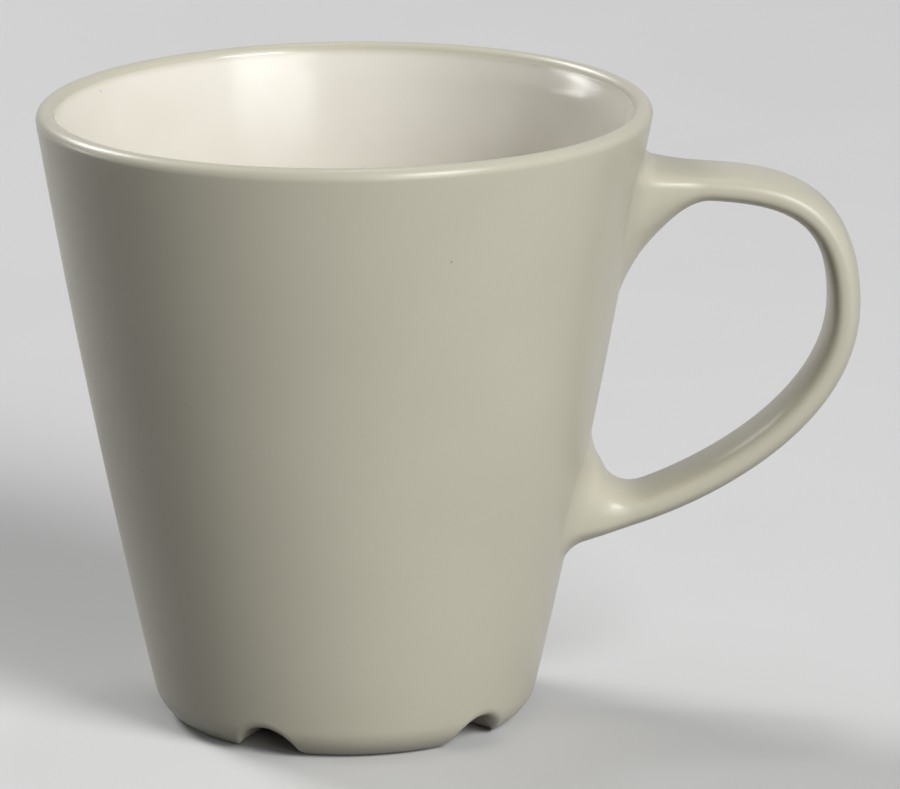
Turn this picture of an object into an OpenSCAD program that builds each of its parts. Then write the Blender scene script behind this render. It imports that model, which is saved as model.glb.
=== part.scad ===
// Tapered stoneware mug with a loop handle, a cream liner glaze and a drained foot ring.
// The cup's axis is Z, the table is at zero height and the handle points along X.

/* [Cup] */
// Height from the table to the top of the lip
cup_height = 95; // [85:1:120]
// Outside diameter at the lip
rim_diameter = 93; // [86:1:110]
// Outside diameter at the table, if the wall ran on past its rounded foot corner
base_diameter = 56.2; // [52:0.1:70]
// How far the wall swells outside a straight cone, halfway up
wall_swell = 0.85; // [0:0.05:2]
// Wall thickness at the lip, with both glazes
lip_thickness = 3.2; // [2.6:0.1:4.5]
// Wall thickness at the inside floor, with both glazes
lower_wall_thickness = 4.6; // [3.6:0.1:6]
// Thickness of clay between the recess underneath and the inside floor
floor_thickness = 5; // [3.5:0.5:8]
// Radius of the corner between the inside wall and the inside floor
floor_corner_radius = 8; // [4:0.5:12]

/* [Foot] */
// Radius of the outside corner between the wall and the table
foot_corner_radius = 6.2; // [4:0.1:8]
// Width of the flat ring that stands on the table
foot_ring_width = 3.4; // [2.5:0.1:5]
// Depth of the recess inside the foot ring
recess_depth = 5; // [5:0.1:7]
// Radius of both corners of the recess
recess_corner_radius = 1.5; // [0.5:0.1:2]
// Number of drain notches through the foot ring
notch_count = 5; // [3:1:6]
// Width of the arch of a drain notch
notch_width = 10; // [6:0.5:11]
// Height of the arch of a drain notch
notch_height = 4.8; // [3:0.1:5]
// Radius of the rounded lips on both sides of a drain notch
notch_lip_radius = 4; // [1:0.1:4]
// Angle from the handle to the first drain notch
notch_angle = -45; // [-90:1:90]

/* [Handle] */
// Distance from the cup's axis to the outermost face of the handle
handle_reach = 78.2; // [72:0.1:90]
// Thickness of the strap, glaze included
strap_thickness = 4.9; // [4:0.1:7]
// Width of the strap, glaze included
strap_width = 14; // [10:0.5:18]
// Drop from the top of the lip to the middle of the strap where it leaves the wall
upper_root_drop = 11.9; // [10:0.1:16]
// Height of the middle of the strap where its lower end meets the wall
lower_root_height = 30.3; // [28:0.1:38]
// Angle above level at which the strap leaves the wall at its upper end
upper_leave_angle = -9.5; // [-20:0.5:5]
// Angle above level at which the strap leaves the wall at its lower end
lower_leave_angle = 0; // [-10:0.5:10]
// How far the upper end swells downwards, into the loop
upper_inner_flare = 13.5; // [8:0.5:15]
// How far the upper end swells upwards
upper_outer_flare = 0.5; // [0:0.1:3]
// Distance from the wall over which the upper end swells into the loop
upper_flare_length = 12.8; // [12:0.1:18]
// How far the lower end swells upwards, into the loop
lower_inner_flare = 10; // [5:0.5:11]
// How far the lower end swells downwards
lower_outer_flare = 1.6; // [0:0.1:5]
// Distance from the wall over which the lower end swells into the loop
lower_flare_length = 12.2; // [10:0.1:16]
// How far both ends swell on each side
side_flare = 3.2; // [1:0.1:5]
// Distance from the wall over which both ends swell outside the loop and on each side
side_flare_length = 10; // [5:0.5:14]

/* [Joints and glaze] */
// Thickness of the slip that lutes each end of the handle to the wall
slip_thickness = 1; // [0.6:0.1:1.5]
// Radius of the slip that is squeezed out and smoothed round each end
joint_fillet = 2.2; // [1.8:0.1:3.5]
// Thickness of the edge that the smoothed slip runs out to on the wall
slip_edge = 0.2; // [0.1:0.05:0.3]
// Thickness of both glazes
glaze_thickness = 0.35; // [0.2:0.05:0.6]
// How far the outer glaze reaches over the lip, as an angle from its outside edge
liner_edge_angle = 155; // [110:1:165]
// How far the outer glaze reaches round the foot corner, as an angle below level
foot_glaze_angle = 66; // [30:1:70]

/* [Hidden] */
$fn = 120;
arc_steps = 10;
wall_steps = 24;
ring_steps = 30;
ring_sides = 20;
joint_rings = 8;
// Rings crowd towards the wall, where the handle changes shape fastest
ring_crowding = 1.6;
// Roundness of the strap's section: 2 is an ellipse, higher is squarer
section_power = 2.6;
// Shape of the loop, as shares of its reach from the wall and of its rise and fall from the bow
bow_height_share = 0.624;
upper_run_share = 0.408;
bow_rise_share = 1.1;
bow_fall_share = 0.624;
lower_run_share = 0.23;
// How far cuts run past what they cut, and how far the handle's ends reach into the wall before trimming
overrun = 1;
root_embed = 1.2;
clay_colour = [0.78, 0.74, 0.67];
outer_colour = [0.74, 0.72, 0.65];
liner_colour = [0.91, 0.88, 0.82];
slip_colour = [0.72, 0.68, 0.61];

rim_radius = rim_diameter / 2;
base_radius = base_diameter / 2;
floor_top = recess_depth + floor_thickness;

function polar(radius, angle) = radius * [cos(angle), sin(angle)];
function mix(a, b, share) = a + (b - a) * share;
function arc(centre, radius, from, to) =
    [for (i = [0 : arc_steps]) centre + polar(radius, mix(from, to, i / arc_steps))];
function steps(from, to) = [for (i = [0 : wall_steps]) mix(from, to, i / wall_steps)];
function reversed(points) = [for (i = [len(points) - 1 : -1 : 0]) points[i]];

// Clay outside of the wall: radius, slope and lean from upright at a height
function clay_radius(h) =
    mix(base_radius, rim_radius, h / cup_height)
    + 4 * wall_swell * (h / cup_height) * (1 - h / cup_height) - glaze_thickness;
function slope(h) =
    (rim_radius - base_radius) / cup_height + 4 * wall_swell * (1 - 2 * h / cup_height) / cup_height;
function lean(h) = atan(slope(h));

// Lip: a full round on the wall's thickness
lip_clay_radius = lip_thickness / 2 - glaze_thickness;
lip_height = cup_height - lip_thickness / 2;
lip_lean = lean(lip_height);
lip_centre = [clay_radius(lip_height) - lip_clay_radius / cos(lip_lean), lip_height];

// Clay inside of the wall, which thickens steadily from the lip to the floor
wall_taper = (lower_wall_thickness - lip_thickness) / (lip_height - floor_top);
function clay_wall(h) = lip_thickness + wall_taper * (lip_height - h) - 2 * glaze_thickness;
function inside_radius(h) = clay_radius(h) - clay_wall(h) / cos(lean(h));
function inside_lean(h) = atan(slope(h) + wall_taper / cos(lean(h)));

floor_corner_height = floor_top + floor_corner_radius;
floor_corner_lean = inside_lean(floor_corner_height);
floor_corner_centre =
    [inside_radius(floor_corner_height) - floor_corner_radius / cos(floor_corner_lean), floor_corner_height];

foot_lean = lean(foot_corner_radius);
foot_centre =
    [clay_radius(foot_corner_radius) - foot_corner_radius / cos(foot_lean), foot_corner_radius];
recess_radius = foot_centre.x - foot_ring_width - recess_corner_radius;

// Outlines in radius and height, a given skin of glaze outside the clay
outside_heights = steps(
    foot_corner_radius - foot_corner_radius * sin(foot_lean),
    lip_height - lip_clay_radius * sin(lip_lean));
inside_heights = steps(
    lip_height + lip_clay_radius * sin(inside_lean(lip_height)),
    floor_corner_height - floor_corner_radius * sin(floor_corner_lean));
function outside_wall(skin) =
    [for (h = outside_heights) [clay_radius(h), h] + polar(skin, -lean(h))];
function inside_wall(skin) =
    [for (h = inside_heights) [inside_radius(h), h] + polar(skin, 180 - inside_lean(h))];
function foot_corner(skin, from) = arc(foot_centre, foot_corner_radius + skin, from, -foot_lean);
function lip_round(skin, from, to) = arc(lip_centre, lip_clay_radius + skin, from, to);
function floor_corner(skin) =
    arc(floor_corner_centre, floor_corner_radius - skin, -floor_corner_lean, -90);
inside_edge_angle = 180 - inside_lean(lip_height);

recess_outline = concat(
    [[0, recess_depth]],
    arc([recess_radius - recess_corner_radius, recess_depth - recess_corner_radius],
        recess_corner_radius, 90, 0),
    arc([recess_radius + recess_corner_radius, recess_corner_radius], recess_corner_radius, 180, 270));

clay_outline = concat(
    recess_outline,
    foot_corner(0, -90),
    outside_wall(0),
    lip_round(0, -lip_lean, inside_edge_angle),
    inside_wall(0),
    floor_corner(0),
    [[0, floor_top]]);

function outer_skin(skin) = concat(
    foot_corner(skin, -foot_glaze_angle),
    outside_wall(skin),
    lip_round(skin, -lip_lean, liner_edge_angle));

function inner_skin(skin) = concat(
    lip_round(skin, liner_edge_angle, inside_edge_angle),
    inside_wall(skin),
    floor_corner(skin),
    [[0, floor_top + skin]]);

// Drain notch: an arch that runs out to the table through two rounded lips
arch_radius = notch_width / 2;
arch_centre = [0, notch_height - arch_radius];
lip_spread = sqrt(pow(arch_radius + notch_lip_radius, 2) - pow(notch_lip_radius - arch_centre.y, 2));
lip_angle = atan2(notch_lip_radius - arch_centre.y, lip_spread);
notch_outline = concat(
    [[lip_spread, -overrun]],
    arc([lip_spread, notch_lip_radius], notch_lip_radius, 270, 180 + lip_angle),
    arc(arch_centre, arch_radius, lip_angle, 180 - lip_angle),
    arc([-lip_spread, notch_lip_radius], notch_lip_radius, -lip_angle, -90),
    [[-lip_spread, -overrun]]);
notch_start = recess_radius - recess_corner_radius - overrun;

module drain_notches() {
    for (i = [0 : notch_count - 1])
        rotate([0, 0, notch_angle - i * 360 / notch_count])
            translate([notch_start, 0, 0])
                rotate([90, 0, 90])
                    linear_extrude(height = rim_radius - notch_start)
                        polygon(notch_outline);
}

// Middle line of the handle in radius and height: out from the wall, round the bow and back
upper_root_height = cup_height - upper_root_drop;
upper_root = [clay_radius(upper_root_height), upper_root_height];
lower_root = [clay_radius(lower_root_height), lower_root_height];
upper_square = polar(1, -lean(upper_root_height));
lower_square = polar(1, -lean(lower_root_height));
bow = [handle_reach - strap_thickness / 2, mix(lower_root_height, upper_root_height, bow_height_share)];
upper_curve = [
    upper_root,
    upper_root + polar(upper_run_share * (bow.x - upper_root.x), upper_leave_angle),
    bow + [0, bow_rise_share * (upper_root.y - bow.y)],
    bow];
lower_curve = [
    bow,
    bow - [0, bow_fall_share * (bow.y - lower_root.y)],
    lower_root + polar(lower_run_share * (bow.x - lower_root.x), lower_leave_angle),
    lower_root];
function along(curve, t) =
    pow(1 - t, 3) * curve[0] + 3 * pow(1 - t, 2) * t * curve[1]
    + 3 * (1 - t) * t * t * curve[2] + pow(t, 3) * curve[3];
function travel(curve, t) =
    pow(1 - t, 2) * (curve[1] - curve[0]) + 2 * (1 - t) * t * (curve[2] - curve[1])
    + t * t * (curve[3] - curve[2]);
function unit(v) = v / norm(v);

// Section of the handle: half sizes that swell towards the wall, in a rounded oblong
half_thickness = strap_thickness / 2 - glaze_thickness;
half_width = strap_width / 2 - glaze_thickness;
function fade(share) = pow(max(0, 1 - share), 2);
function fillet(gap) = joint_fillet * (1 - sqrt(1 - min(1, fade((gap + slip_edge) / joint_fillet))));
function outer_half(up, low) =
    half_thickness + upper_outer_flare * fade(up / side_flare_length)
    + lower_outer_flare * fade(low / side_flare_length) + fillet(up) + fillet(low);
function inner_half(up, low) =
    half_thickness + upper_inner_flare * fade(up / upper_flare_length)
    + lower_inner_flare * fade(low / lower_flare_length) + fillet(up) + fillet(low);
function side_half(up, low) =
    half_width + side_flare * (fade(up / side_flare_length) + fade(low / side_flare_length))
    + fillet(up) + fillet(low);
function oblong(x) = sign(x) * pow(abs(x), 2 / section_power);

// Direction that a ring faces: along the strap, but square to the wall near each end
function settle(share) = pow(max(0, 1 - pow(share, 2)), 2);
function facing(heading, up, low) = unit(
    heading + (upper_square - heading) * settle(up / upper_flare_length)
    - (lower_square + heading) * settle(low / lower_flare_length));

// How far the wall falls away behind a point beside the middle of a root
function fall(root, side) = root.x - sqrt(pow(root.x, 2) - pow(side, 2));

// One ring of the handle at a centre, with its distances from the upper and lower roots
function ring(centre, ahead, up, low, grow) =
    [for (i = [0 : ring_sides - 1])
        let (
            angle = 360 * i / ring_sides,
            side = oblong(sin(angle)) * (side_half(up, low) + grow),
            rise = cos(angle) > 0 ? outer_half(up, low) + grow : inner_half(up, low) + grow,
            lift = oblong(cos(angle)) * rise,
            hug = fall(lower_root, side) * fade(low / side_flare_length)
                - fall(upper_root, side) * fade(up / side_flare_length),
            place = centre + lift * [-ahead.y, ahead.x] + hug * ahead)
        [place.x, side, place.y]];
function ring_on(curve, t, grow) =
    let (
        centre = along(curve, t),
        up = norm(centre - upper_root),
        low = norm(centre - lower_root))
    ring(centre, facing(unit(travel(curve, t)), up, low), up, low, grow);

root_gap = norm(upper_root - lower_root);
function upper_start(grow) =
    ring(upper_root - (root_embed + grow) * upper_square, upper_square, -slip_edge, root_gap, grow);
function lower_end(grow) =
    ring(lower_root - (root_embed + grow) * lower_square, -lower_square, root_gap, -slip_edge, grow);
function upper_rings(grow, last) =
    [for (i = [0 : last]) ring_on(upper_curve, pow(i / ring_steps, ring_crowding), grow)];
function lower_rings(grow, last) =
    [for (i = [last : -1 : 0]) ring_on(lower_curve, 1 - pow(i / ring_steps, ring_crowding), grow)];

// Average of a list of points
function middle(points) = [for (p = points) 1] * points / len(points);

// A closed skin over a list of rings
module sweep(rings) {
    sides = len(rings[0]);
    last = len(rings) - 1;
    points = concat([for (r = rings) each r], [middle(rings[0]), middle(rings[last])]);
    first_cap = sides * len(rings);
    walls = [for (r = [0 : last - 1], i = [0 : sides - 1])
        let (a = r * sides + i, b = r * sides + (i + 1) % sides)
        each [[a, b + sides, a + sides], [a, b, b + sides]]];
    caps = [for (i = [0 : sides - 1])
        let (next = (i + 1) % sides)
        each [[first_cap, next, i], [first_cap + 1, last * sides + i, last * sides + next]]];
    polyhedron(points, concat(walls, caps));
}

module loop(grow) {
    sweep(concat(
        [upper_start(grow)], upper_rings(grow, ring_steps),
        lower_rings(grow, ring_steps - 1), [lower_end(grow)]));
}

// Everything inside the wall's outside face, with a given skin on it
module wall_core(skin) {
    outside = outside_wall(skin);
    rotate_extrude()
        polygon(concat([[0, outside[0].y]], outside, [[0, outside[wall_steps].y]]));
}

// The skin between the clay wall and a given thickness outside it
module wall_shell(skin) {
    rotate_extrude()
        polygon(concat(outside_wall(skin), reversed(outside_wall(0))));
}

module cup_body() {
    color(clay_colour)
        difference() {
            rotate_extrude()
                polygon(clay_outline);
            drain_notches();
        }
}

module handle() {
    color(clay_colour)
        difference() {
            loop(0);
            wall_core(slip_thickness);
        }
}

module upper_handle_joint() {
    color(slip_colour)
        intersection() {
            sweep(concat([upper_start(0)], upper_rings(0, joint_rings)));
            wall_shell(slip_thickness);
        }
}

module lower_handle_joint() {
    color(slip_colour)
        intersection() {
            sweep(concat(lower_rings(0, joint_rings), [lower_end(0)]));
            wall_shell(slip_thickness);
        }
}

module inner_glaze() {
    color(liner_colour)
        rotate_extrude()
            polygon(concat(inner_skin(0), reversed(inner_skin(glaze_thickness))));
}

// The outer glaze is the glazed cup and loop with the bare cup and loop taken out
module outer_glaze() {
    bare = outer_skin(0);
    foot_edge = bare[0];
    lip_edge = bare[len(bare) - 1];
    color(outer_colour)
        difference() {
            union() {
                rotate_extrude()
                    polygon(concat(
                        [[0, foot_edge.y], foot_edge],
                        outer_skin(glaze_thickness),
                        [lip_edge, [0, lip_edge.y]]));
                loop(glaze_thickness);
            }
            union() {
                rotate_extrude()
                    polygon(concat([[0, foot_edge.y - overrun]], bare, [[0, lip_edge.y + overrun]]));
                loop(0);
            }
            drain_notches();
        }
}

cup_body();
handle();
upper_handle_joint();
lower_handle_joint();
inner_glaze();
outer_glaze();
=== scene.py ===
import math

import bpy
import numpy as np
from mathutils import Matrix, Vector


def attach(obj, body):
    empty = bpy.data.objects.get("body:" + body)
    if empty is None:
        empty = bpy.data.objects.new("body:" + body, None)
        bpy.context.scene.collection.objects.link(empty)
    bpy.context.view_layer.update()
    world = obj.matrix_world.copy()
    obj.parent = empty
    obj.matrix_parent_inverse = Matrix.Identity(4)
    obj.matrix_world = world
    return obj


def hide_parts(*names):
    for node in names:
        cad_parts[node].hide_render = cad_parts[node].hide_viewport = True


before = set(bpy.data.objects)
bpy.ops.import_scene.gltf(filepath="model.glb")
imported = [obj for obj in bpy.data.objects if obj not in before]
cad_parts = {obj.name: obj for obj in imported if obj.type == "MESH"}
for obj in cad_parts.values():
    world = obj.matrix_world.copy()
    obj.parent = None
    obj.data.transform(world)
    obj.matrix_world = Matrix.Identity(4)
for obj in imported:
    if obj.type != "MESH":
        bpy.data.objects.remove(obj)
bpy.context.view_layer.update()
MM = 0.001

# Cup, in millimetres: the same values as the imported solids
HEIGHT, RIM, BASE, SWELL = 95.0, 46.5, 28.1, 0.85
LIP, LOWER_WALL = 3.2, 4.6
RECESS, FLOOR, FLOOR_CORNER = 5.0, 5.0, 8.0
FOOT_CORNER, FOOT_RING, RECESS_CORNER = 6.2, 3.4, 1.5
GLAZE = 0.35
LINER_EDGE, FOOT_EDGE = math.radians(155), math.radians(66)
NOTCHES, NOTCH_TURN = 5, math.radians(-45)
NOTCH_WIDTH, NOTCH_HEIGHT, NOTCH_LIP = 10.0, 4.8, 4.0

# Handle, in millimetres: the same values too, and UPPER_BEND, which only the scene has
REACH, STRAP, STRAP_WIDTH = 78.2, 4.9, 14.0
UPPER_DROP, LOWER_ROOT = 11.9, 30.3
UPPER_ROOT = HEIGHT - UPPER_DROP
UPPER_LEAVE, LOWER_LEAVE = math.radians(-9.5), 0.0
UPPER_INNER, UPPER_OUTER, UPPER_LENGTH, UPPER_BEND = 13.5, 0.5, 12.8, 10.9
LOWER_INNER, LOWER_OUTER, LOWER_LENGTH = 10.0, 1.6, 12.2
SIDE_FLARE, SIDE_LENGTH = 3.2, 10.0
FILLET = 2.2
SECTION_POWER = 2.6
BOW_HEIGHT, UPPER_RUN, BOW_RISE, BOW_FALL, LOWER_RUN = 0.624, 0.408, 1.1, 0.624, 0.23

# Steps along the meshes and along the paths that they are drawn from
NOTCH_COLUMNS, PLAIN_COLUMNS, LINER_COLUMNS = 65, 21, 288
LIP_ROWS, WALL_ROWS, FOOT_ROWS, UNDER_ROWS = 26, 36, 46, 64
SHOULDER_ROWS, UPPER_LINER_ROWS, LINER_ROWS, CORNER_ROWS, FLOOR_ROWS = 10, 24, 38, 16, 10
WALL_STEPS, FOOT_STEPS, TUNNEL_STEPS, ROLL_STEPS, CORNER_STEPS = 80, 160, 60, 30, 30
FOOT_PATH_STEPS, UNDER_PATH_STEPS = 600, 900
SIDES, RING_STEPS, CROWDING = 112, 74, 2.2
SAME_POINT = 1e-9


def mix(a, b, share):
    return a + (b - a) * share


def smooth(low, high, x):
    t = np.clip((x - low) / (high - low), 0, 1)
    return t * t * (3 - 2 * t)


# Clay outside and inside of the wall: radius and lean from upright at a height
def clay_radius(h):
    share = h / HEIGHT
    return mix(BASE, RIM, share) + 4 * SWELL * share * (1 - share) - GLAZE


def slope(h):
    return (RIM - BASE) / HEIGHT + 4 * SWELL * (1 - 2 * h / HEIGHT) / HEIGHT


def lean(h):
    return np.arctan(slope(h))


LIP_ROUND = LIP / 2 - GLAZE
LIP_HEIGHT = HEIGHT - LIP / 2
LIP_LEAN = lean(LIP_HEIGHT)
LIP_CENTRE = np.array([clay_radius(LIP_HEIGHT) - LIP_ROUND / np.cos(LIP_LEAN), LIP_HEIGHT])
FLOOR_TOP = RECESS + FLOOR
TAPER = (LOWER_WALL - LIP) / (LIP_HEIGHT - FLOOR_TOP)


def inside_radius(h):
    wall = LIP + TAPER * (LIP_HEIGHT - h) - 2 * GLAZE
    return clay_radius(h) - wall / np.cos(lean(h))


def inside_lean(h):
    return np.arctan(slope(h) + TAPER / np.cos(lean(h)))


FLOOR_CORNER_HEIGHT = FLOOR_TOP + FLOOR_CORNER
FLOOR_CORNER_LEAN = inside_lean(FLOOR_CORNER_HEIGHT)
FLOOR_CENTRE = np.array([
    inside_radius(FLOOR_CORNER_HEIGHT) - FLOOR_CORNER / np.cos(FLOOR_CORNER_LEAN),
    FLOOR_CORNER_HEIGHT])
FOOT_LEAN = lean(FOOT_CORNER)
FOOT_CENTRE = np.array([
    clay_radius(FOOT_CORNER) - FOOT_CORNER / np.cos(FOOT_LEAN), FOOT_CORNER])
RECESS_RADIUS = FOOT_CENTRE[0] - FOOT_RING - RECESS_CORNER
INSIDE_EDGE = math.pi - inside_lean(LIP_HEIGHT)


def arc(centre, radius, start, end, steps):
    a = np.linspace(start, end, steps)
    return centre + radius * np.stack([np.cos(a), np.sin(a)], -1)


def along_wall(radius, tilt, skin, sign, heights):
    """Points of a wall in radius and height, a skin of glaze out of its clay"""
    a = tilt(heights)
    out = np.stack([sign * np.cos(a), -sign * np.sin(a)], -1)
    return np.stack([radius(heights), heights], -1) + skin * out


# Drain notch: height of its roof at a distance beside its middle
ARCH = NOTCH_WIDTH / 2
ARCH_Z = NOTCH_HEIGHT - ARCH
LIP_SPREAD = math.sqrt((ARCH + NOTCH_LIP) ** 2 - (NOTCH_LIP - ARCH_Z) ** 2)
LIP_MEET = LIP_SPREAD * ARCH / (ARCH + NOTCH_LIP)


def notch_roof(beside):
    y = np.abs(beside)
    arch = ARCH_Z + np.sqrt(np.maximum(0, ARCH ** 2 - y ** 2))
    lip = NOTCH_LIP - np.sqrt(np.maximum(0, NOTCH_LIP ** 2 - (y - LIP_SPREAD) ** 2))
    return np.where(y < LIP_MEET, arch, np.where(y < LIP_SPREAD, lip, 0))


# Columns of the cup's meshes, as turns from the nearest notch: close together where a notch runs
PITCH = 2 * math.pi / NOTCHES
DENSE = math.radians(19.5)
turns = np.concatenate([
    np.linspace(-DENSE, DENSE, NOTCH_COLUMNS),
    np.linspace(DENSE, PITCH - DENSE, PLAIN_COLUMNS)[1:-1]])
column_turn = np.abs(np.tile(turns, NOTCHES))
column_beside = np.minimum(column_turn, PITCH - column_turn)
column_azimuth = np.concatenate([NOTCH_TURN + k * PITCH + turns for k in range(NOTCHES)])


def steps_along(path):
    return np.hypot(*np.diff(path, axis=0).T)


def run_along(path):
    return np.concatenate([[0], np.cumsum(steps_along(path))])


def points_at(path, run, at):
    """Points of a path at distances along it"""
    return np.stack([np.interp(at, run, path[:, i]) for i in (0, 1)], -1)


def resample(path, rows):
    """The same path with its points spread evenly along it"""
    run = run_along(path)
    keep = np.concatenate([[True], steps_along(path) > SAME_POINT])
    return points_at(path[keep], run[keep], np.linspace(0, run[-1], rows))


# Foot: the glaze below SPLIT runs a little way into each notch, and rolls over its edge
SPLIT = 13.0
TUNNEL, TUNNEL_FROM, TUNNEL_FULL = 4.5, 0.4, 3.2
ROLL, LEAST_ROLL = 1.5, 1e-3
LOW_EDGE = FOOT_CENTRE[1] - (FOOT_CORNER + GLAZE) * math.sin(FOOT_EDGE)
foot_profile = np.concatenate([
    along_wall(clay_radius, lean, GLAZE, 1,
               np.linspace(SPLIT, FOOT_CORNER - FOOT_CORNER * math.sin(FOOT_LEAN), WALL_STEPS)),
    arc(FOOT_CENTRE, FOOT_CORNER + GLAZE, -FOOT_LEAN, -FOOT_EDGE, FOOT_STEPS)[1:]])


def glazed_foot(turn, rows):
    """Outside of the glaze from the wall down to its edge, rolled into the notch where there is one"""
    r, z = foot_profile.T
    roof = np.maximum(LOW_EDGE, notch_roof(r * math.sin(turn)) - GLAZE)
    below = np.nonzero(z <= roof + SAME_POINT)[0]
    last = below[0] if len(below) else len(z) - 1
    corner = foot_profile[last]
    tunnel = TUNNEL * float(smooth(TUNNEL_FROM, TUNNEL_FULL, corner[1]))
    inward = corner[0] - np.linspace(0, tunnel, TUNNEL_STEPS)[1:]
    roof_in = np.maximum(LOW_EDGE, notch_roof(inward * math.sin(turn)) - GLAZE)
    path = np.concatenate([foot_profile[:last + 1], np.stack([inward, roof_in], -1)])
    path = resample(path, FOOT_PATH_STEPS)
    run = run_along(path)
    turn_at = run[np.argmin(np.hypot(*(path - corner).T))]
    reach = min(ROLL, run[-1] - turn_at)
    if reach > LEAST_ROLL:
        a = points_at(path, run, turn_at - reach)
        b = points_at(path, run, turn_at + reach)
        t = np.linspace(0, 1, ROLL_STEPS)[:, None]
        bend = (1 - t) ** 2 * a + 2 * t * (1 - t) * corner + t * t * b
        path = np.concatenate([path[run < turn_at - reach], bend, path[run > turn_at + reach]])
    return resample(path, rows)


def spin(paths, azimuths=column_azimuth):
    """Grid of points from one path in radius and height for each column"""
    paths = np.broadcast_to(paths, (len(azimuths),) + paths.shape[-2:])
    r, z = paths[..., 0], paths[..., 1]
    a = azimuths[:, None]
    return np.stack([r * np.cos(a), r * np.sin(a), z], -1).transpose(1, 0, 2)


def grid_normals(grid):
    """Unit normals of a grid that closes on itself along its columns"""
    across = np.roll(grid, -1, 1) - np.roll(grid, 1, 1)
    down = np.gradient(grid, axis=0)
    n = np.cross(down, across)
    return n / np.linalg.norm(n, axis=-1, keepdims=True)


# Firing leaves the rim a little higher on the handle's side, and dips it and draws it out beside the handle
RIM_TILT, TILT_RISE = 0.0115, 2
RIM_SINK, RIM_DIP, DIP_AT, DIP_FALL = 0.1, 0.6, math.radians(-30), 3
RIM_PULL, PULL_AT, PULL_FALL = 0.4, math.radians(-10), 4
EDGE_RISE = 10


def fired(points):
    x, y, z = points.T
    share = z / HEIGHT
    azimuth = np.arctan2(y, x)
    dip = np.maximum(0, np.cos(azimuth - DIP_AT)) ** DIP_FALL
    pull = np.maximum(0, np.cos(azimuth - PULL_AT)) ** PULL_FALL
    lift = RIM_TILT * x * share ** TILT_RISE - (RIM_SINK + RIM_DIP * dip) * share ** EDGE_RISE
    out = RIM_PULL * pull * share ** EDGE_RISE
    return points + np.stack([out * np.cos(azimuth), out * np.sin(azimuth), lift], -1)


# Edges that bend more than this are shaded as sharp
SHARP_FROM = math.radians(50)


def mesh_piece(name, rows, poles=(None, None), loop=False):
    """Closed mesh over rows of points: rows close into a ring, or poles close both ends"""
    count, columns = len(rows), rows[0].shape[0]
    points = np.concatenate(rows)
    i = np.arange(columns)
    j = (i + 1) % columns
    faces = []
    for k in range(count if loop else count - 1):
        a, b = k * columns, (k + 1) % count * columns
        faces.append(np.stack([a + i, b + i, b + j, a + j], -1))
    faces = np.concatenate(faces).tolist()
    for end, pole in enumerate(poles):
        if pole is None:
            continue
        top = len(points)
        points = np.concatenate([points, [pole]])
        a = 0 if end == 0 else (count - 1) * columns
        for p, q in zip(i, j):
            faces.append([top, a + p, a + q] if end == 0 else [top, a + q, a + p])
    mesh = bpy.data.meshes.new(name)
    mesh.from_pydata((fired(points) * MM).tolist(), [], faces)
    mesh.validate()
    mesh.shade_smooth()
    mesh.set_sharp_from_angle(angle=SHARP_FROM)
    piece = bpy.data.objects.new(name, mesh)
    bpy.context.scene.collection.objects.link(piece)
    return piece


# Outer glaze: over the lip, down the wall and round the foot, as a closed coat that thins at the lip
THIN_BY, LIP_THIN = 0.2, math.radians(60)
lip_angles = np.linspace(LINER_EDGE, -LIP_LEAN, LIP_ROWS)
lip_skin = GLAZE - THIN_BY * smooth(LINER_EDGE - LIP_THIN, LINER_EDGE, lip_angles)
lip_path = LIP_CENTRE + (LIP_ROUND + lip_skin)[:, None] * np.stack(
    [np.cos(lip_angles), np.sin(lip_angles)], -1)
wall_heights = np.linspace(LIP_HEIGHT - LIP_ROUND * np.sin(LIP_LEAN), SPLIT, WALL_ROWS)
wall_path = along_wall(clay_radius, lean, GLAZE, 1, wall_heights)
top_path = np.concatenate([lip_path, wall_path[1:]])
feet = np.stack([glazed_foot(b, FOOT_ROWS) for b in column_beside])
coat_out = np.concatenate([spin(top_path), spin(feet)[1:]])
coat_skin = np.full(len(coat_out), GLAZE)
coat_skin[:LIP_ROWS] = lip_skin
coat_in = coat_out - coat_skin[:, None, None] * grid_normals(coat_out)
outer_coat = mesh_piece("outer_coat", list(coat_out) + list(coat_in[::-1]), loop=True)

# Liner: from its edge on the lip down the inside and over the floor to a hub that a pole closes
HUB = 1.0
THIN_RUN, THIN_MARGIN = 5.2, 1.0
THIN_FROM = HEIGHT - THIN_RUN
SHOULDER_LOW = LIP_HEIGHT + LIP_ROUND * math.sin(inside_lean(LIP_HEIGHT))
INSIDE_LOW = FLOOR_CORNER_HEIGHT - FLOOR_CORNER * math.sin(FLOOR_CORNER_LEAN)
inside_heights = np.concatenate([
    np.linspace(SHOULDER_LOW, THIN_FROM - THIN_MARGIN, UPPER_LINER_ROWS)[:-1],
    np.linspace(THIN_FROM - THIN_MARGIN, INSIDE_LOW, LINER_ROWS)])
liner_azimuth = np.linspace(0, 2 * math.pi, LINER_COLUMNS, endpoint=False)


def liner_path(skin, thin=0.0):
    """Liner's surface, or its clay: the glaze runs thin towards the lip"""
    start = arc(LIP_CENTRE, LIP_ROUND + skin - thin, LINER_EDGE, INSIDE_EDGE, SHOULDER_ROWS)
    run = thin * smooth(THIN_FROM, SHOULDER_LOW, inside_heights)
    wall = along_wall(inside_radius, inside_lean, (skin - run)[:, None], -1, inside_heights)
    corner = arc(FLOOR_CENTRE, FLOOR_CORNER - skin, -FLOOR_CORNER_LEAN, -math.pi / 2, CORNER_ROWS)
    floor = np.stack([
        np.linspace(FLOOR_CENTRE[0], HUB, FLOOR_ROWS), np.full(FLOOR_ROWS, FLOOR_TOP + skin)], -1)
    return np.concatenate([start, wall[1:], corner[1:], floor[1:]])


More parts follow.
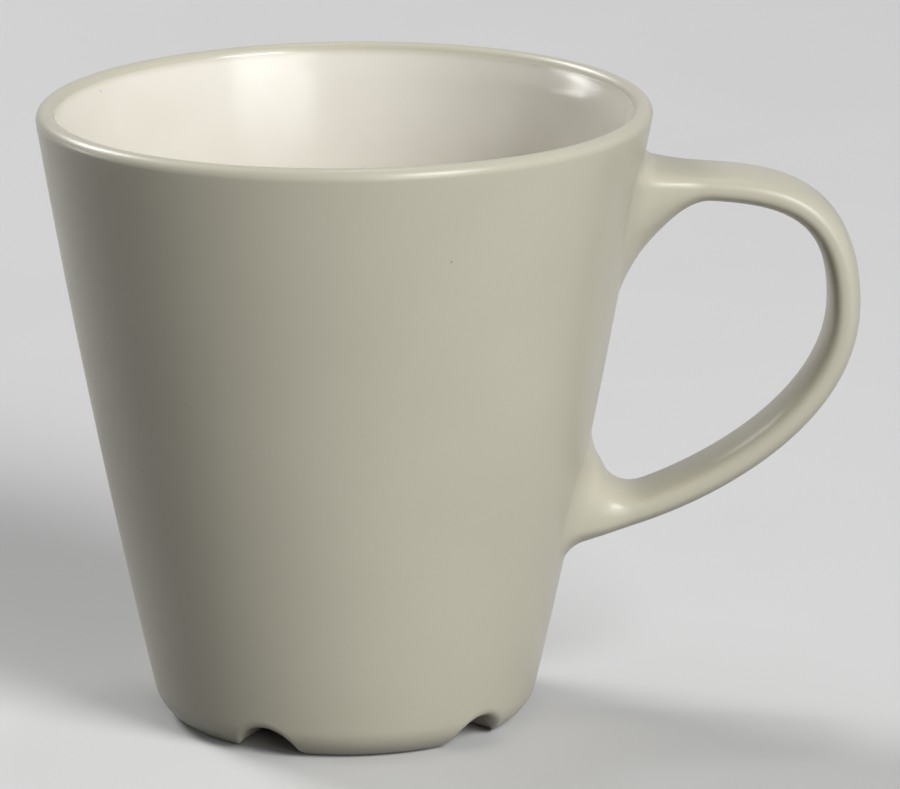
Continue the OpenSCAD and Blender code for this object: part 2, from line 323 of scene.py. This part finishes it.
liner_out = spin(liner_path(GLAZE, THIN_BY), liner_azimuth)
liner_in = spin(liner_path(0), liner_azimuth)
liner = mesh_piece(
    "liner", list(liner_out[::-1]) + list(liner_in),
    poles=((0, 0, FLOOR_TOP + GLAZE), (0, 0, FLOOR_TOP)))

# Clay body: hidden under both glazes, and open to view on the foot ring, in the notches and in the recess
UNDER_MARGIN, HIDDEN_STEP = 0.05, 2
recess_profile = np.concatenate([
    [[FOOT_CENTRE[0], 0]],
    arc(np.array([RECESS_RADIUS + RECESS_CORNER, RECESS_CORNER]), RECESS_CORNER,
        -math.pi / 2, -math.pi, CORNER_STEPS),
    arc(np.array([RECESS_RADIUS - RECESS_CORNER, RECESS - RECESS_CORNER]), RECESS_CORNER,
        0, math.pi / 2, CORNER_STEPS),
    [[HUB, RECESS]]])


def underside(turn, start):
    """Clay from the outer glaze's edge to the hub in the middle of the recess"""
    arc_down = arc(FOOT_CENTRE, FOOT_CORNER, -FOOT_EDGE, -math.pi / 2, CORNER_STEPS)
    path = resample(np.concatenate([arc_down, recess_profile]), UNDER_PATH_STEPS)
    path[:, 1] = np.maximum(path[:, 1], notch_roof(path[:, 0] * math.sin(turn)))
    path = path[path[:, 0] < start[0] - UNDER_MARGIN]
    return resample(np.concatenate([[start], path]), UNDER_ROWS)


clay_edge = np.stack([np.hypot(coat_in[-1, :, 0], coat_in[-1, :, 1]), coat_in[-1, :, 2]], -1)
under = spin(np.stack([underside(b, e) for b, e in zip(column_beside, clay_edge)]))
inside = spin(liner_path(0)[::HIDDEN_STEP])
clay_rows = list(inside[::-1]) + list(coat_in)[1:] + list(under)[1:]
clay_body = mesh_piece("clay_body", clay_rows, poles=((0, 0, FLOOR_TOP), (0, 0, RECESS)))


# Handle: rings along a two-part curve that swell, turn square to the wall and hug it at both ends
def square(h):
    return np.array([math.cos(lean(h)), -math.sin(lean(h))])


def glazed_root(h):
    return np.array([clay_radius(h), h]) + GLAZE * square(h)


upper_root, lower_root = glazed_root(UPPER_ROOT), glazed_root(LOWER_ROOT)
upper_square, lower_square = square(UPPER_ROOT), square(LOWER_ROOT)
bow = np.array([REACH - STRAP / 2, mix(LOWER_ROOT, UPPER_ROOT, BOW_HEIGHT)])
upper_curve = np.array([
    upper_root,
    upper_root + UPPER_RUN * (bow[0] - upper_root[0])
    * np.array([math.cos(UPPER_LEAVE), math.sin(UPPER_LEAVE)]),
    bow + [0, BOW_RISE * (upper_root[1] - bow[1])],
    bow])
lower_curve = np.array([
    bow,
    bow - [0, BOW_FALL * (bow[1] - lower_root[1])],
    lower_root + LOWER_RUN * (bow[0] - lower_root[0])
    * np.array([math.cos(LOWER_LEAVE), math.sin(LOWER_LEAVE)]),
    lower_root])


def bezier(c, t):
    return (1 - t) ** 3 * c[0] + 3 * (1 - t) ** 2 * t * c[1] + 3 * (1 - t) * t * t * c[2] + t ** 3 * c[3]


def bezier_heading(c, t):
    v = (1 - t) ** 2 * (c[1] - c[0]) + 2 * (1 - t) * t * (c[2] - c[1]) + t * t * (c[3] - c[2])
    return v / np.linalg.norm(v)


def fade(share):
    return max(0.0, 1 - share) ** 2


def fillet(gap):
    return FILLET * (1 - math.sqrt(1 - min(1, fade(gap / FILLET))))


def settle(share):
    return max(0.0, 1 - share ** 2) ** 2


ring_angle = np.linspace(0, 2 * math.pi, SIDES, endpoint=False)
oblong_side = np.sign(np.sin(ring_angle)) * np.abs(np.sin(ring_angle)) ** (2 / SECTION_POWER)
oblong_lift = np.sign(np.cos(ring_angle)) * np.abs(np.cos(ring_angle)) ** (2 / SECTION_POWER)


def wall_gap(points):
    """Distance out from the glazed wall, and the wall's own direction there"""
    r = np.hypot(points[:, 0], points[:, 1])
    a = lean(points[:, 2])
    gap = (r - clay_radius(points[:, 2])) * np.cos(a) - GLAZE
    out = np.stack([points[:, 0] / r * np.cos(a), points[:, 1] / r * np.cos(a), -np.sin(a)], -1)
    return gap, out


# Rings nearer to a root than HOLD_FULL follow the wall, and those beyond HOLD_END are free of it
HOLD_FULL, HOLD_END = 1.5, 5.0


def handle_ring(centre, ahead, up, low):
    """One ring, at distances from the upper and the lower root"""
    half = STRAP / 2
    weld = fillet(up) + fillet(low)
    outer = half + UPPER_OUTER * fade(up / SIDE_LENGTH) + LOWER_OUTER * fade(low / SIDE_LENGTH) + weld
    inner = half + UPPER_INNER * fade(up / UPPER_BEND) + LOWER_INNER * fade(low / LOWER_LENGTH) + weld
    side = STRAP_WIDTH / 2 + SIDE_FLARE * (fade(up / SIDE_LENGTH) + fade(low / SIDE_LENGTH)) + weld
    y = oblong_side * side
    lift = oblong_lift * np.where(np.cos(ring_angle) > 0, outer, inner)
    hug = ((lower_root[0] - np.sqrt(lower_root[0] ** 2 - y ** 2)) * fade(low / SIDE_LENGTH)
           - (upper_root[0] - np.sqrt(upper_root[0] ** 2 - y ** 2)) * fade(up / SIDE_LENGTH))
    x = centre[0] - lift * ahead[1] + hug * ahead[0]
    z = centre[1] + lift * ahead[0] + hug * ahead[1]
    points = np.stack([x, y, z], -1)
    near = min(up, low)
    hold = 1 - float(smooth(HOLD_FULL, HOLD_END, near))
    if hold > 0:
        gap, out = wall_gap(points)
        points += ((near - gap) * hold)[:, None] * out
    return points


def handle_half(curve, shares):
    """Rings along one part of the curve"""
    rings = []
    for t in shares:
        centre = bezier(curve, t)
        up, low = np.linalg.norm(centre - upper_root), np.linalg.norm(centre - lower_root)
        heading = bezier_heading(curve, t)
        ahead = (heading + (upper_square - heading) * settle(up / UPPER_LENGTH)
                 - (lower_square + heading) * settle(low / LOWER_LENGTH))
        rings.append(handle_ring(centre, ahead / np.linalg.norm(ahead), up, low))
    return rings


# Both ends of the handle reach through the glaze into the wall
EMBED, TOUCH = 0.9, 0.004
shares = (np.arange(RING_STEPS + 1) / RING_STEPS) ** CROWDING
rings = handle_half(upper_curve, shares) + handle_half(lower_curve, 1 - shares[::-1])[1:]
sunk = []
for end in (0, -1):
    gap, out = wall_gap(rings[end])
    rings[end] = rings[end] - (gap + TOUCH)[:, None] * out
    sunk.append(rings[end] - EMBED * out)
rings = [sunk[0]] + rings + [sunk[1]]
handle = mesh_piece("glazed_handle", rings, poles=(rings[0].mean(0), rings[-1].mean(0)))

for piece, slot, nodes in (
        (clay_body, "clay", ["cup_body"]),
        (outer_coat, "outer_glaze", ["outer_glaze"]),
        (liner, "liner_glaze", ["inner_glaze"]),
        (handle, "outer_glaze", ["handle", "upper_handle_joint", "lower_handle_joint"])):
    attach(piece, "root")
    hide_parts(*nodes)

# Display colours, and the curve that turns them into light
DISPLAY_FULL, KNEE, KNEE_SLOPE, CURVE_OFFSET, CURVE_POWER = 255, 0.04045, 12.92, 0.055, 2.4


def linear(r, g, b):
    """A display colour of 0 to 255 as the linear values that a shader takes"""
    return tuple(
        (c / KNEE_SLOPE if c <= KNEE else ((c + CURVE_OFFSET) / (1 + CURVE_OFFSET)) ** CURVE_POWER)
        for c in (r / DISPLAY_FULL, g / DISPLAY_FULL, b / DISPLAY_FULL)) + (1,)


def grey(value):
    return (value, value, value, 1)


# Specks, as shares of their size: how far they wander, and where their edge starts and ends
SPECK_WANDER, SPECK_CORE, SPECK_EDGE = 0.35, 0.3, 0.55

# Detail of a noise: soft waves, plain, and clouds
SOFT, PLAIN, CLOUDY = 1.0, 2.0, 3.0


class Nodes:
    """A material's node tree, with short calls to add and join nodes: feature sizes are in millimetres"""

    def __init__(self, tree):
        self.tree = tree
        self.place = self.add("ShaderNodeTexCoord").outputs["Object"]

    def add(self, kind, links=(), **values):
        node = self.tree.nodes.new(kind)
        for key, value in values.items():
            setattr(node, key, value)
        for socket, value in links:
            self.put(node.inputs[socket], value)
        return node

    def put(self, socket, value):
        if isinstance(value, bpy.types.NodeSocket):
            self.tree.links.new(value, socket)
        else:
            socket.default_value = value

    def noise(self, size, detail=PLAIN, output="Fac"):
        """Cloudy values round a half, with features of about a size"""
        return self.add("ShaderNodeTexNoise", [
            ("Vector", self.place), ("Scale", 1 / (size * MM)), ("Detail", detail)]).outputs[output]

    def sum(self, a, b):
        return self.add("ShaderNodeMath", [(0, a), (1, b)], operation="ADD").outputs[0]

    def times(self, a, b):
        return self.add("ShaderNodeMath", [(0, a), (1, b)], operation="MULTIPLY").outputs[0]

    def most(self, a, b):
        return self.add("ShaderNodeMath", [(0, a), (1, b)], operation="MAXIMUM").outputs[0]

    def ramp(self, value, low, high, start=0.0, end=1.0):
        """A value carried smoothly from one range to another, and held at its ends"""
        return self.add("ShaderNodeMapRange", [
            ("Value", value), ("From Min", low), ("From Max", high),
            ("To Min", start), ("To Max", end)], interpolation_type="SMOOTHSTEP").outputs["Result"]

    def blend(self, share, a, b):
        return self.add("ShaderNodeMix", [(0, share), (6, a), (7, b)], data_type="RGBA").outputs[2]

    def height(self):
        return self.add("ShaderNodeSeparateXYZ", [(0, self.place)]).outputs["Z"]

    def rim_height(self):
        """Height with the rim's tilt taken off"""
        parts = self.add("ShaderNodeSeparateXYZ", [(0, self.place)]).outputs
        return self.sum(parts["Z"], self.times(parts["X"], -RIM_TILT))

    def specks(self, apart, size, kept):
        """Sparse round specks: cells of a spacing, of which a share are kept"""
        drift = self.noise(size, SOFT, "Color")
        bent = self.add("ShaderNodeVectorMath", [
            (0, drift), (1, (SPECK_WANDER * size * MM,) * 3), (2, self.place)],
            operation="MULTIPLY_ADD").outputs[0]
        cells = self.add("ShaderNodeTexVoronoi", [("Vector", bent), ("Scale", 1 / (apart * MM))])
        near = self.ramp(
            cells.outputs["Distance"], SPECK_CORE * size / apart, SPECK_EDGE * size / apart, 1.0, 0.0)
        pick = self.add("ShaderNodeSeparateColor", [(0, cells.outputs["Color"])]).outputs[0]
        return self.times(near, self.ramp(pick, 1 - kept, 1.0))

    def bump(self, value, depth):
        return self.add("ShaderNodeBump", [
            ("Strength", 1.0), ("Distance", depth * MM), ("Height", value)]).outputs["Normal"]


def surface(name):
    material = bpy.data.materials.new(name)
    material.use_nodes = True
    return material, Nodes(material.node_tree), material.node_tree.nodes["Principled BSDF"]


# Ranges of a noise that its clouds and its grain run through
CLOUDS, GRAIN = (0.3, 0.7), (0.25, 0.75)


# Materials: sizes and depths are millimetres, while heights and how far they wander are metres
def outer_glaze_material():
    """Satin glaze: cloudy tone, fine grain, paler on the lip, deeper towards the foot, a few iron specks"""
    dull, clear, dusty = linear(191, 187, 169), linear(195, 191, 173), linear(190, 186, 169)
    deep, pale, rust = linear(183, 179, 160), linear(202, 199, 183), linear(112, 96, 76)
    cloud_size, grain_size, low_tone_size, gloss_size, ripple_size, ripple_depth = 26, 0.7, 14, 9, 2.6, 0.006
    grain_share, low_tone_share, pale_share = 0.4, 0.35, 0.3
    low_tone_full, low_tone_gone, low_tone_wander = 0.004, 0.022, 0.008
    pale_low, pale_high = 0.0925, 0.0948
    large, large_share = (7.5, 0.5, 0.35), 0.5
    small, small_share = (3.2, 0.26, 0.2), 0.3
    smoothest, roughest, mirror = 0.285, 0.33, 0.4
    material, n, shader = surface("satin_glaze")
    clouds = n.ramp(n.noise(cloud_size, CLOUDY), *CLOUDS)
    grain = n.ramp(n.noise(grain_size), *GRAIN)
    tone = n.blend(clouds, dull, clear)
    tone = n.blend(n.times(grain, grain_share), tone, dusty)
    # Darker towards the foot: a deeper tone that fades out between about 4 and 22 mm up
    level = n.sum(n.height(), n.times(n.noise(low_tone_size), low_tone_wander))
    tone = n.blend(n.ramp(level, low_tone_full, low_tone_gone, low_tone_share, 0.0), tone, deep)
    tone = n.blend(n.ramp(n.rim_height(), pale_low, pale_high, 0.0, pale_share), tone, pale)
    iron = n.most(n.times(n.specks(*large), large_share), n.times(n.specks(*small), small_share))
    n.put(shader.inputs["Base Color"], n.blend(iron, tone, rust))
    n.put(shader.inputs["Roughness"], n.ramp(n.noise(gloss_size, CLOUDY), *CLOUDS, smoothest, roughest))
    n.put(shader.inputs["Specular IOR Level"], mirror)
    n.put(shader.inputs["Normal"], n.bump(n.noise(ripple_size, SOFT), ripple_depth))
    return material


def liner_material():
    """Glossy cream glaze: soft waves, cream pooled on the floor, a melted edge, a few specks"""
    dull, clear, cream = linear(223, 219, 208), linear(228, 224, 214), linear(218, 210, 193)
    melted, rust = linear(200, 196, 180), linear(140, 126, 106)
    cloud_size, low_tone_size, gloss_size, wave_size, ripple_size, wave_depth = 22, 12, 10, 6.0, 1.5, 0.02
    low_tone_share, melt_share, ripple_share = 0.5, 0.85, 0.2
    low_tone_full, low_tone_gone, low_tone_wander = 0.014, 0.034, 0.01
    melt_low, melt_high = 0.0928, 0.0942
    large, large_share = (9.0, 0.7, 0.4), 0.3
    small, small_share = (4.0, 0.3, 0.25), 0.4
    smoothest, roughest = 0.16, 0.2
    material, n, shader = surface("cream_glaze")
    clouds = n.ramp(n.noise(cloud_size, CLOUDY), *CLOUDS)
    tone = n.blend(clouds, dull, clear)
    level = n.sum(n.height(), n.times(n.noise(low_tone_size), low_tone_wander))
    tone = n.blend(n.ramp(level, low_tone_full, low_tone_gone, low_tone_share, 0.0), tone, cream)
    tone = n.blend(n.ramp(n.rim_height(), melt_low, melt_high, 0.0, melt_share), tone, melted)
    iron = n.most(n.times(n.specks(*large), large_share), n.times(n.specks(*small), small_share))
    n.put(shader.inputs["Base Color"], n.blend(iron, tone, rust))
    n.put(shader.inputs["Roughness"], n.ramp(n.noise(gloss_size, CLOUDY), *CLOUDS, smoothest, roughest))
    waves = n.sum(n.noise(wave_size, SOFT), n.times(n.noise(ripple_size), ripple_share))
    n.put(shader.inputs["Normal"], n.bump(waves, wave_depth))
    return material


def clay_material():
    """Fired clay: dry and gritty on the ring that stands, glazed in the recess and the notches"""
    dark_grit, pale_grit, speck = linear(148, 122, 92), linear(170, 146, 114), linear(84, 66, 50)
    dull, clear = linear(184, 178, 160), linear(194, 187, 169)
    grit_size, cloud_size, edge_size, grit_depth = 0.35, 8, 1.6, 0.05
    dry_specks, speck_share = (1.4, 0.3, 0.5), 0.7
    dry_high, glazed_low, edge_wander = 0.0008, 0.0014, 0.0006
    dry_roughness, glazed_roughness, glazed_grit = 0.85, 0.38, 0.1
    material, n, shader = surface("foot_clay")
    grit = n.ramp(n.noise(grit_size, CLOUDY), *CLOUDS)
    dry = n.blend(grit, dark_grit, pale_grit)
    dry = n.blend(n.times(n.specks(*dry_specks), speck_share), dry, speck)
    glazed = n.blend(n.ramp(n.noise(cloud_size, CLOUDY), *CLOUDS), dull, clear)
    edge = n.sum(n.height(), n.times(n.noise(edge_size), edge_wander))
    share = n.ramp(edge, dry_high, glazed_low)
    n.put(shader.inputs["Base Color"], n.blend(share, dry, glazed))
    n.put(shader.inputs["Roughness"], n.ramp(share, 0.0, 1.0, dry_roughness, glazed_roughness))
    grit_left = n.times(grit, n.ramp(share, 0.0, 1.0, 1.0, glazed_grit))
    n.put(shader.inputs["Normal"], n.bump(grit_left, grit_depth))
    return material


satin = outer_glaze_material()
for piece, material in (
        (clay_body, clay_material()), (outer_coat, satin), (liner, liner_material()), (handle, satin)):
    piece.data.materials.append(material)

# Camera at the photograph's viewing angle: pixels, millimetres and radians
FOCUS, IMAGE_WIDTH, SENSOR_WIDTH = 7533.8, 900, 36.0
EYE_BACK, EYE_HEIGHT, VIEW_END = 1107.66, 334.98, 100
TURN, YAW, PITCH_DOWN, ROLL_BY = math.radians(-1.0), 0.01447, 0.25222, -0.00053
eye = Matrix.Rotation(TURN, 3, "Z") @ Vector((0, -EYE_BACK, EYE_HEIGHT))
ahead = Vector((
    math.sin(YAW) * math.cos(PITCH_DOWN), math.cos(YAW) * math.cos(PITCH_DOWN), -math.sin(PITCH_DOWN)))
right = Vector((math.cos(YAW), -math.sin(YAW), 0))
up = right.cross(ahead)
right, up = (math.cos(ROLL_BY) * right + math.sin(ROLL_BY) * up,
             -math.sin(ROLL_BY) * right + math.cos(ROLL_BY) * up)
axes = Matrix.Rotation(TURN, 3, "Z") @ Matrix((right, up, -ahead)).transposed()
camera = bpy.data.objects.new("camera", bpy.data.cameras.new("camera"))
camera.data.sensor_width = SENSOR_WIDTH
camera.data.lens = FOCUS * SENSOR_WIDTH / IMAGE_WIDTH
camera.data.clip_end = VIEW_END
camera.matrix_world = Matrix.Translation(eye * MM) @ axes.to_4x4()
bpy.context.scene.collection.objects.link(camera)
bpy.context.scene.camera = camera

# Floor and surroundings: pale where they are seen, quiet in the light that they throw on the mug
FLOOR_SIZE, FLOOR_ROUGHNESS, FLOOR_QUIET = 8.0, 0.9, 0.06
PAPER_SIZE, PAPER_DETAIL, PAPER_DULL, PAPER_CLEAR = 60, 4.0, 0.68, 0.72
SKY_QUIET, SKY_SEEN = 0.02, 0.6


def seen(n):
    path = n.add("ShaderNodeLightPath").outputs
    return n.most(path["Is Camera Ray"], n.most(path["Is Glossy Ray"], path["Is Transmission Ray"]))


floor_mesh = bpy.data.meshes.new("floor")
floor_mesh.from_pydata(
    [(x * FLOOR_SIZE, y * FLOOR_SIZE, 0) for x, y in ((-1, -1), (1, -1), (1, 1), (-1, 1))],
    [], [(0, 1, 2, 3)])
floor = bpy.data.objects.new("floor", floor_mesh)
bpy.context.scene.collection.objects.link(floor)
floor_material, n, shader = surface("floor")
paper = n.blend(n.noise(PAPER_SIZE, PAPER_DETAIL), grey(PAPER_DULL), grey(PAPER_CLEAR))
n.put(shader.inputs["Base Color"], n.blend(seen(n), grey(FLOOR_QUIET), paper))
n.put(shader.inputs["Roughness"], FLOOR_ROUGHNESS)
floor_mesh.materials.append(floor_material)

world = bpy.data.worlds.new("world")
bpy.context.scene.world = world
world.use_nodes = True
n = Nodes(world.node_tree)
sky = world.node_tree.nodes["Background"]
n.put(sky.inputs["Color"], grey(1))
n.put(sky.inputs["Strength"], n.ramp(seen(n), 0.0, 1.0, SKY_QUIET, SKY_SEEN))

# Soft lamps: degrees round from the camera's side, degrees up, width and height in metres, and watts
LAMP_DISTANCE, AIM_HEIGHT = 2.4, 0.05
LAMPS = (
    ("key", 38, 34, 1.05, 1.05, 45),
    ("front_low", 28, 10, 1.5, 1.2, 20),
    ("back_left", 226, 37, 0.8, 0.8, 28),
    ("high_left", 252, 62, 2.0, 2.0, 5),
    ("left_rim", 250, 20, 0.35, 0.35, 1.2),
    ("left_low", 250, 4, 1.5, 0.22, 5),
    ("left_core", 249, 4.7, 0.5, 0.14, 1.8),
    ("top", 165, 74, 0.3, 0.3, 3.5))


def lamp(name, azimuth, elevation, width, height, power):
    data = bpy.data.lights.new(name, "AREA")
    data.shape = "ELLIPSE"
    data.size = width
    data.size_y = height
    data.energy = power
    a, e = math.radians(azimuth), math.radians(elevation)
    away = Vector((math.sin(a) * math.cos(e), -math.cos(a) * math.cos(e), math.sin(e)))
    light = bpy.data.objects.new(name, data)
    light.location = Vector((0, 0, AIM_HEIGHT)) + LAMP_DISTANCE * away
    light.rotation_mode = "QUATERNION"
    light.rotation_quaternion = (-away).to_track_quat("-Z", "Y")
    bpy.context.scene.collection.objects.link(light)


for values in LAMPS:
    lamp(*values)

bpy.context.scene.view_settings.view_transform = "Standard"
